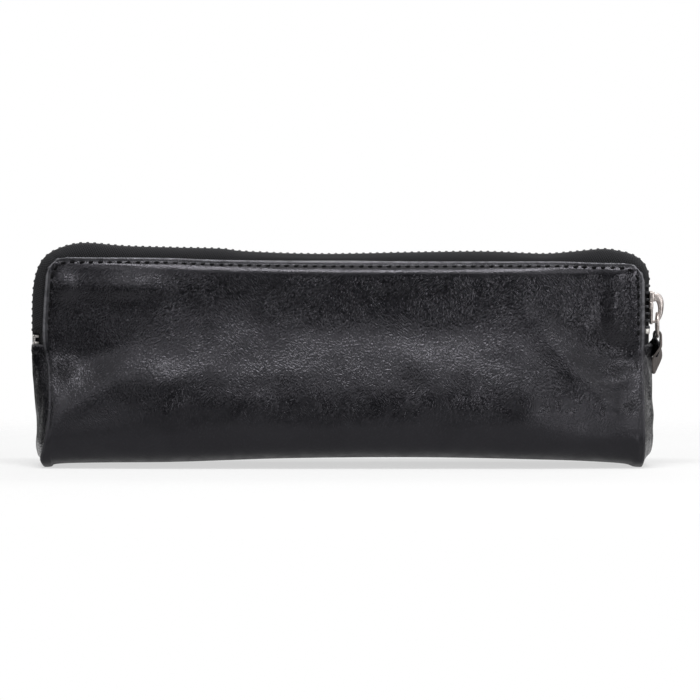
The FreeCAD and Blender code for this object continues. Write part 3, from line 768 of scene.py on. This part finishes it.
def tooth_shape():
    """One tooth: a broad root that grips the tape and a rounded head. Axes: run, side, out."""
    root = box_shape((-0.44, 1.1, -1.1), (0.44, 3.0, 1.15), 0.2)
    head = box_shape((-0.5, -0.35, -0.8), (0.5, 1.5, 0.8), 0.3)
    return joined([root, head])


def follow_wall(piece):
    """Bakes the piece's transform into its mesh."""
    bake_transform(piece)


tooth = tooth_shape()
for side, word, folds, seed in SIDES:
    grid = flipped(tape_grid(word, side), side)
    points, faces, kinds = sheet(grid, TAPE)
    tape = add_piece("tape_" + word + "_cloth", points, faces, tape_cloth)
    rows, columns = grid.shape[:2]
    along, across = np.meshgrid(np.linspace(0, chain_length, columns), np.linspace(0, TAPE_WIDTH, rows))
    flat = np.stack([along, across, 0 * along], axis=-1).reshape(-1, 3)
    loop = [r * columns + c for r, c, name in border(rows, columns)]
    paint(tape, "weave", np.vstack([flat, flat, flat[loop], flat[loop], flat[loop]]))
    follow_wall(tape)
    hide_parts("tape_" + word)

    places = []
    for origin, along, out in chain_frames(0.25 if side < 0 else 0.75):
        axes = [(along[0], 0, along[1]), (0, side, 0), (out[0], 0, out[1])]
        seat = origin - out * ROW_DROP[word]
        parted = ROWS_PARTED * (1 - smooth(*PARTED_RIGHT, seat[1])) if seat[0] > 0 else 0
        places.append((np.array([seat[0], side * parted, seat[1]]), axes))
    points, faces = repeated(tooth, places)
    row = add_piece("teeth_row_" + word, points, faces, blackened)
    follow_wall(row)
    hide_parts("teeth_" + word)


# Stitches along the leather edges

STITCH_RINGS = 9
THREAD_ANGLES = np.linspace(0, 2 * math.pi, 10, endpoint=False)


def stitch_shape():
    """A short thread, fuller in the middle, that dips into the leather at both ends. Axes: run, up, out."""
    points = []
    for t in np.linspace(-1, 1, STITCH_RINGS):
        radius = STITCH_RADIUS * (1 - 0.3 * t ** 2)
        lift = 0.16 - 0.42 * t ** 4
        for angle in THREAD_ANGLES:
            points.append((t * STITCH_LENGTH / 2, radius * math.cos(angle), lift + radius * math.sin(angle)))
    spokes = len(THREAD_ANGLES)
    return np.array(points), tube_faces(STITCH_RINGS, spokes) + cap_faces(STITCH_RINGS, spokes)


def stitch_path(word):
    """Line of the stitches on the leather, parallel to its edges."""
    edge = edge_line(word)[:, [0, 2]]
    edge = edge[(edge[:, 1] > STITCH_FOOT)]
    tangent = np.gradient(edge, axis=0)
    tangent /= np.linalg.norm(tangent, axis=1, keepdims=True)
    inward = np.column_stack([tangent[:, 1], -tangent[:, 0]])
    return evenly(edge + inward * STITCH_INSET, 1500)


stitch = stitch_shape()
for side, word, folds, seed in SIDES:
    path = stitch_path(word)
    length = np.linalg.norm(np.diff(path, axis=0), axis=1).sum()
    count = int(length / STITCH_PITCH)
    places = []
    for number in range(count):
        at = (number + 0.5) / count * (len(path) - 1)
        low = path[int(at) - 3]
        high = path[min(int(at) + 4, len(path) - 1)]
        middle = (low + high) / 2
        start = np.array([low[0], wall_depth(word, *low), low[1]])
        stop = np.array([high[0], wall_depth(word, *high), high[1]])
        along = (stop - start) / np.linalg.norm(stop - start)
        outward = np.array([0, side, 0]) - along * along[1] * side
        outward /= np.linalg.norm(outward)
        up = np.cross(outward, along)
        slant = math.radians(STITCH_SLANT)
        slanted = along * math.cos(slant) + up * math.sin(slant)
        risen = up * math.cos(slant) - along * math.sin(slant)
        place = np.array([middle[0], wall_depth(word, *middle), middle[1]])
        places.append((place, [slanted, risen, outward]))
    points, faces = repeated(stitch, places)
    seam = add_piece("stitches_" + word + "_thread", points, faces, thread)
    spin = np.tile(THREAD_ANGLES, STITCH_RINGS)
    paint(seam, "twist", np.tile(np.column_stack([stitch[0][:, 0], spin, 0 * spin]), (count, 1)))
    fold_with_wall(seam)
    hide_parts("stitches_" + word)


# Metal of the zip: stops, slider, crown and ring

def rigid(name, shape, material, body, node):
    """A hard piece that rides on one body and stands for one node."""
    piece = add_piece(name, shape[0], shape[1], material)
    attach(piece, body)
    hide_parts(node)
    return piece


def clasp_shape(x, z_low, z_high, half_width, sign):
    """A bent strip that clasps the two tapes: a back and two returned ends."""
    rounding = 0.22
    reach = 1.1
    lip = 0.9
    middle = x + sign * reach / 2
    back = box_shape((middle - 0.4, -half_width, z_low), (middle + 0.4, half_width, z_high), rounding)
    upper = box_shape((x - reach, -half_width, z_high - lip), (x + reach, half_width, z_high), rounding)
    lower = box_shape((x - reach, -half_width, z_low), (x + reach, half_width, z_low + lip), rounding)
    return joined([back, upper, lower])


clasp = clasp_shape(-103.7, 40.9, 44.1, 4.3, -1)
rigid("bottom_stop_clasp", clasp, stop_metal, "pouch", "bottom_stop")
for side, word, folds, seed in SIDES:
    ends = sorted((side * 0.65, side * 3.1))
    shape = box_shape((100.9, ends[0], 44.3), (103.3, ends[1], 46.5), 0.45)
    rigid("top_stop_" + word + "_clip", shape, stop_metal, word + "_side", "top_stop_" + word)

# Outline of the slider's plates, as place across the case and height
SHIELD = [(-3.0, 47.6), (3.0, 47.6), (3.9, 49.2), (4.5, 53.6), (3.9, 57.2), (2.2, 58.5), (0, 57.6),
          (-2.2, 58.5), (-3.9, 57.2), (-4.5, 53.6), (-3.9, 49.2)]

# Nose, cheeks and post of the slider: low corner, high corner and rounding
SLIDER_BLOCKS = [
    ((103.45, -4.2, 55.3), (104.9, 4.2, 58.7), 0.5),
    ((103.1, -4.75, 55.3), (104.9, -3.95, 58.7), 0.3), ((103.1, -4.75, 52.7), (104.4, -3.95, 55.2), 0.3),
    ((103.1, 3.95, 55.3), (104.9, 4.75, 58.7), 0.3), ((103.1, 3.95, 52.7), (104.4, 4.75, 55.2), 0.3),
    ((100.4, -0.42, 55.2), (103.8, 0.42, 58.0), 0.15)]

outer_plate = prism_shape(SHIELD, 103.45, 104.3, 0.3)
inner_plate = prism_shape([(y * 0.86, z) for y, z in SHIELD], 99.45, 100.55, 0.3)
plates = joined([outer_plate, inner_plate] + [box_shape(*block) for block in SLIDER_BLOCKS])
rigid("slider_plates", plates, nickel, "slider", "slider_body")


def swept_shape(path, half_width):
    """A rounded strip along a path of x, z and half thickness."""
    tangent = np.gradient(path[:, :2], axis=0)
    tangent /= np.linalg.norm(tangent, axis=1, keepdims=True)
    normal = np.column_stack([-tangent[:, 1], tangent[:, 0]])
    spokes = 16
    points = []
    for centre, turned in zip(path, normal):
        for angle in np.linspace(0, 2 * math.pi, spokes, endpoint=False):
            a, b = math.cos(angle), math.sin(angle)
            wide = half_width * math.copysign(abs(a) ** 0.5, a)
            thick = centre[2] * math.copysign(abs(b) ** 0.5, b)
            points.append((centre[0] + turned[0] * thick, wide, centre[1] + turned[1] * thick))
    return np.array(points), tube_faces(len(path), spokes) + cap_faces(len(path), spokes)


# Crown of the slider, as place along the case, height and half thickness
CROWN_ARCH = [(104.1, 48.4, 0.45), (105.4, 48.5, 0.5), (106.4, 49.3, 0.6), (107.0, 51, 0.75),
              (107.2, 53.2, 0.95), (106.95, 55.2, 1.2), (106.3, 56.4, 1.4), (105.4, 56.8, 1.45),
              (104.6, 56.8, 1.4)]
crown = swept_shape(curve(CROWN_ARCH, 40), 1.3)
rigid("slider_crown_arch", crown, nickel, "slider", "slider_crown")


def ring_shape(centre, mean_radius, wire_radius):
    """A wire ring in the plane across the case."""
    points = []
    turns = 48
    spokes = 14
    for around in np.linspace(0, 2 * math.pi, turns, endpoint=False):
        for about in np.linspace(0, 2 * math.pi, spokes, endpoint=False):
            radius = mean_radius + wire_radius * math.cos(about)
            points.append((centre[0] + wire_radius * math.sin(about), centre[1] + radius * math.sin(around),
                           centre[2] + radius * math.cos(around)))
    return np.array(points), tube_faces(turns, spokes, closed=True)


ring = ring_shape((106.0, 0.0, 47.2), 4.0, 0.5)
rigid("pull_ring_wire", ring, nickel, "ring", "pull_ring")

# Pull tab: a strap folded through the ring, as place along the case, height, half width and twist in degrees
TAB_LOOP = [(104.75, 36.9, 3.1, -12), (104.8, 39.4, 3.4, -24), (104.7, 41.3, 3.0, -24),
            (104.75, 42.3, 2.1, -14), (104.6, 43.3, 1.6, 0), (104.6, 44.5, 1.4, 0), (105.1, 45.3, 1.4, 0),
            (106, 45.65, 1.4, 0), (106.9, 45.3, 1.4, 0), (107.45, 44.5, 1.4, 0), (107.6, 43.4, 1.5, 0),
            (107.6, 42.4, 1.9, 0), (107.55, 41.2, 2.9, 0), (107.45, 39.8, 3.4, 2), (106.9, 37.6, 3.4, 18),
            (106.1, 35.4, 2.8, 32), (105.2, 31, 0.5, 32)]
TAB_LEATHER = 0.75
TAB_ROWS = 110
TAB_COLUMNS = 19

loop_line = curve(TAB_LOOP, TAB_ROWS)
reach = loop_line[:, 2:3] * np.linspace(-1, 1, TAB_COLUMNS)[None, :]
turn = np.radians(loop_line[:, 3:4])
tab_grid = np.stack([loop_line[:, :1] + reach * np.sin(turn), reach * np.cos(turn),
                     loop_line[:, 1:2] + 0 * reach], axis=-1)
points, faces, kinds = sheet(tab_grid[:, ::-1], TAB_LEATHER)
tab = add_piece("pull_tab_strap", points, faces, tab_hide)
outer_ply = np.repeat(smooth(0.47, 0.53, np.linspace(0, 1, TAB_ROWS)), TAB_COLUMNS)
rim = outer_ply[[row * TAB_COLUMNS + column for row, column, name in border(TAB_ROWS, TAB_COLUMNS)]]
paint(tab, "raw", np.concatenate([outer_ply, 0.1 * outer_ply, rim, rim, rim]))
paint(tab, "edge", 0 * kinds)
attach(tab, "tab")
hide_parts("pull_tab")


# Studio: floor, soft lamps, dark screen out of view, white surround and camera

WORLD_LEVEL = 0.14


def surround_strength(tree, plain):
    """Strength of 1 for what the camera or a reflection sees, and the plain level for light on the object."""
    path = tree.nodes.new("ShaderNodeLightPath")
    seen = path.outputs["Is Camera Ray"]
    for ray in ("Is Glossy Ray", "Is Transmission Ray"):
        either = tree.nodes.new("ShaderNodeMath")
        either.operation = "MAXIMUM"
        tree.links.new(seen, either.inputs[0])
        tree.links.new(path.outputs[ray], either.inputs[1])
        seen = either.outputs[0]
    level = tree.nodes.new("ShaderNodeMapRange")
    level.inputs["To Min"].default_value = plain
    level.inputs["To Max"].default_value = 1.0
    tree.links.new(seen, level.inputs["Value"])
    return level.outputs["Result"]


def make_world():
    """A surround that is seen as white and lights the case dimly."""
    world = bpy.data.worlds.new("white_surround")
    world.use_nodes = True
    background = world.node_tree.nodes["Background"]
    background.inputs["Color"].default_value = (1, 1, 1, 1)
    strength = surround_strength(world.node_tree, WORLD_LEVEL)
    world.node_tree.links.new(strength, background.inputs["Strength"])
    bpy.context.scene.world = world


def make_floor():
    """A pale disc that keeps the shadow near the case and fades into the white surround further out."""
    radius = 330
    ring = [(radius * math.cos(a), radius * math.sin(a), -0.05) for a in np.linspace(0, 2 * math.pi, 96)[:-1]]
    material = bpy.data.materials.new("floor_look")
    material.use_nodes = True
    tree = material.node_tree
    pale = tree.nodes["Principled BSDF"]
    pale.inputs["Base Color"].default_value = (0.86, 0.86, 0.86, 1)
    pale.inputs["Roughness"].default_value = 0.9
    pale.inputs["Specular IOR Level"].default_value = 0.1
    clear = tree.nodes.new("ShaderNodeBsdfTransparent")
    place = tree.nodes.new("ShaderNodeTexCoord")
    reach = tree.nodes.new("ShaderNodeVectorMath")
    reach.operation = "LENGTH"
    tree.links.new(place.outputs["Object"], reach.inputs[0])
    fade = tree.nodes.new("ShaderNodeMapRange")
    fade.interpolation_type = "SMOOTHSTEP"
    fade.inputs["From Min"].default_value = 0.15
    fade.inputs["From Max"].default_value = 0.32
    tree.links.new(reach.outputs["Value"], fade.inputs["Value"])
    white = tree.nodes.new("ShaderNodeEmission")
    tree.links.new(surround_strength(tree, 0.0), white.inputs["Strength"])
    ground = tree.nodes.new("ShaderNodeMixShader")
    ground.inputs["Fac"].default_value = 0.6
    tree.links.new(pale.outputs[0], ground.inputs[1])
    tree.links.new(white.outputs[0], ground.inputs[2])
    blend = tree.nodes.new("ShaderNodeMixShader")
    tree.links.new(fade.outputs["Result"], blend.inputs["Fac"])
    tree.links.new(ground.outputs[0], blend.inputs[1])
    tree.links.new(clear.outputs[0], blend.inputs[2])
    tree.links.new(blend.outputs[0], tree.nodes["Material Output"].inputs["Surface"])
    floor = add_piece("floor", ring, [list(range(len(ring)))], material, smooth_faces=False)


def make_screen():
    """A dark bowl round the set, out of the camera's sight, that gives the gloss its dark parts."""
    turns = np.linspace(0, 2 * math.pi, 64, endpoint=False)
    profile = ((180, -4), (1000, -4), (1000, 520))
    points = [(radius * math.cos(turn), radius * math.sin(turn), height)
              for radius, height in profile for turn in turns]
    material = bpy.data.materials.new("screen_look")
    material.use_nodes = True
    cloth = material.node_tree.nodes["Principled BSDF"]
    cloth.inputs["Base Color"].default_value = (0.03, 0.03, 0.03, 1)
    cloth.inputs["Roughness"].default_value = 0.95
    screen = add_piece("dark_screen", points, tube_faces(len(profile), len(turns)), material)
    screen.visible_camera = False
    screen.visible_shadow = False


def make_lamp(name, place, target, width, height, watts):
    """A soft rectangular lamp that points at a target, out of the camera's sight."""
    lamp = bpy.data.lights.new(name, "AREA")
    lamp.shape = "RECTANGLE"
    lamp.size = width
    lamp.size_y = height
    lamp.energy = watts
    holder = bpy.data.objects.new(name, lamp)
    holder.location = place
    holder.rotation_euler = (Vector(target) - Vector(place)).to_track_quat("-Z", "Y").to_euler()
    holder.visible_camera = False
    bpy.context.scene.collection.objects.link(holder)


def make_camera():
    """Front view from slightly above that spans a given width at the middle of the case."""
    target = Vector((2.2, -20, 39.7)) * METRES
    tilt = math.radians(2.5)
    distance = 1.6
    to_middle = 0.02
    view_width = 0.2366
    sensor = 36
    camera = bpy.data.cameras.new("front_camera")
    camera.sensor_width = sensor
    camera.lens = sensor * (distance + to_middle) / view_width
    holder = bpy.data.objects.new("front_camera", camera)
    holder.location = target + Vector((0, -math.cos(tilt), math.sin(tilt))) * distance
    holder.rotation_euler = (target - holder.location).to_track_quat("-Z", "Y").to_euler()
    bpy.context.scene.collection.objects.link(holder)
    bpy.context.scene.camera = holder


# Lamps: name, place, target, width and height in metres, and watts
LAMPS = [
    ("top_softbox", (0.0, -0.38, 1.15), (0, 0, 0.03), 0.9, 0.18, 10.5),
    ("front_left_softbox", (-0.42, -0.82, 0.85), (0, 0, 0.04), 0.4, 0.25, 1.0),
    ("front_right_softbox", (0.42, -0.82, 0.85), (0, 0, 0.04), 0.4, 0.25, 1.2),
    ("back_softbox", (0.2, 0.9, 0.9), (0, 0, 0.04), 0.7, 0.25, 2.8),
    ("left_softbox", (-0.86, -0.34, 0.36), (-0.1, 0, 0.04), 0.2, 0.4, 0.9),
    ("right_softbox", (0.86, -0.34, 0.36), (0.1, 0, 0.04), 0.2, 0.4, 1.2),
    ("left_card", (-0.35, -0.85, 0.22), (-0.08, 0, 0.05), 0.2, 0.2, 0.4),
    ("right_card", (0.42, -0.82, 0.14), (0.08, 0, 0.05), 0.2, 0.25, 1.5),
    ("right_rim_softbox", (0.84, 0.3, 0.3), (0.1, 0, 0.03), 0.4, 0.5, 1.3),
    ("right_edge_card", (0.5, 0.76, 0.12), (0.1, 0, 0.03), 0.3, 0.3, 0.3),
    ("left_edge_card", (-0.5, 0.76, 0.17), (-0.1, 0, 0.04), 0.3, 0.3, 0.22)]

make_world()
make_floor()
make_screen()
for lamp in LAMPS:
    make_lamp(*lamp)
make_camera()
bpy.context.scene.view_settings.view_transform = "Standard"
